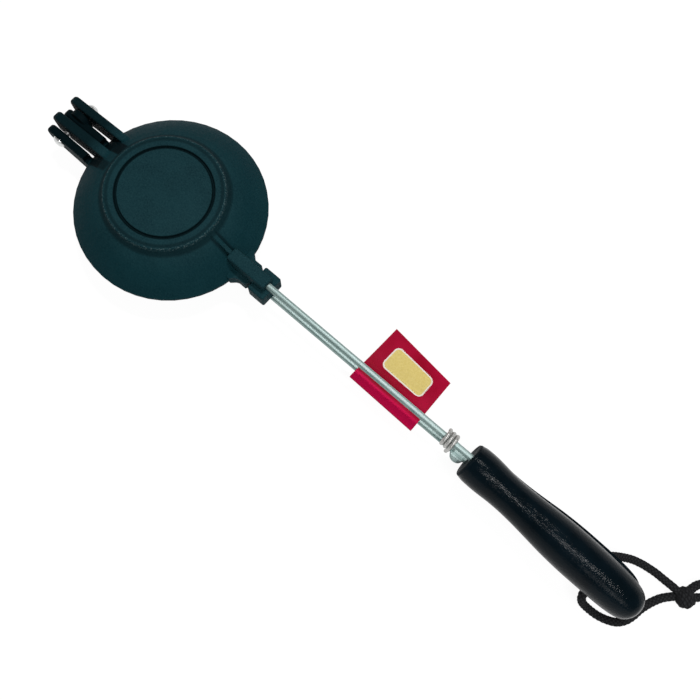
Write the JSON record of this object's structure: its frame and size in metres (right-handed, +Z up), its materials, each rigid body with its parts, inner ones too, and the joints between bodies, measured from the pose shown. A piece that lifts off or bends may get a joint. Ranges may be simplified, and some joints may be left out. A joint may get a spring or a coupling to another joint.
{
  "type": "sandwich iron",
  "caption": "Round hinged sandwich iron for an open fire: two domed cast plates, long twin rods, half-round grips, wire keeper and wrist cord.",
  "frame": {"origin": "centre of the lower plate's flat base, on the surface that the iron lies on", "axes": "+Z up through both plates, +X from the plates along the rods to the grips, +Y to the side that the card's flaps and the cord's loop lie on"},
  "size_m": [0.55, 0.1378, 0.0449],
  "materials": {
    "casting": "dark blue-black coat over a fine sand-cast grain",
    "pin": "bright rivet steel",
    "rod": "zinc-plated drawn steel",
    "grip": "gloss black lacquer",
    "keeper": "drawn spring wire",
    "card": "coated red card",
    "cord": "braided black cord"
  },
  "bodies": {
    "lower_half": {"lower_plate": "casting", "hinge_pin": "pin", "lower_rod": "rod", "lower_grip": "grip", "label_card": "card", "cord_strand_a": "cord", "cord_strand_b": "cord", "cord_knot": "cord", "cord_loop": "cord"},
    "upper_half": {"upper_plate": "casting", "upper_rod": "rod", "upper_grip": "grip"},
    "keeper": {"wire_keeper": "keeper"}
  },
  "joints": [
    {"name": "plate_hinge", "type": "hinge", "parent": "lower_half", "child": "upper_half", "pos_m": [-0.0824, 0, 0.02245], "axis": [0, -1, 0], "range_deg": [0, 180]},
    {"name": "keeper_slide", "type": "slide", "parent": "upper_half", "child": "keeper", "axis": [1, 0, 0], "range_m": [-0.131, 0.011]}
  ]
}
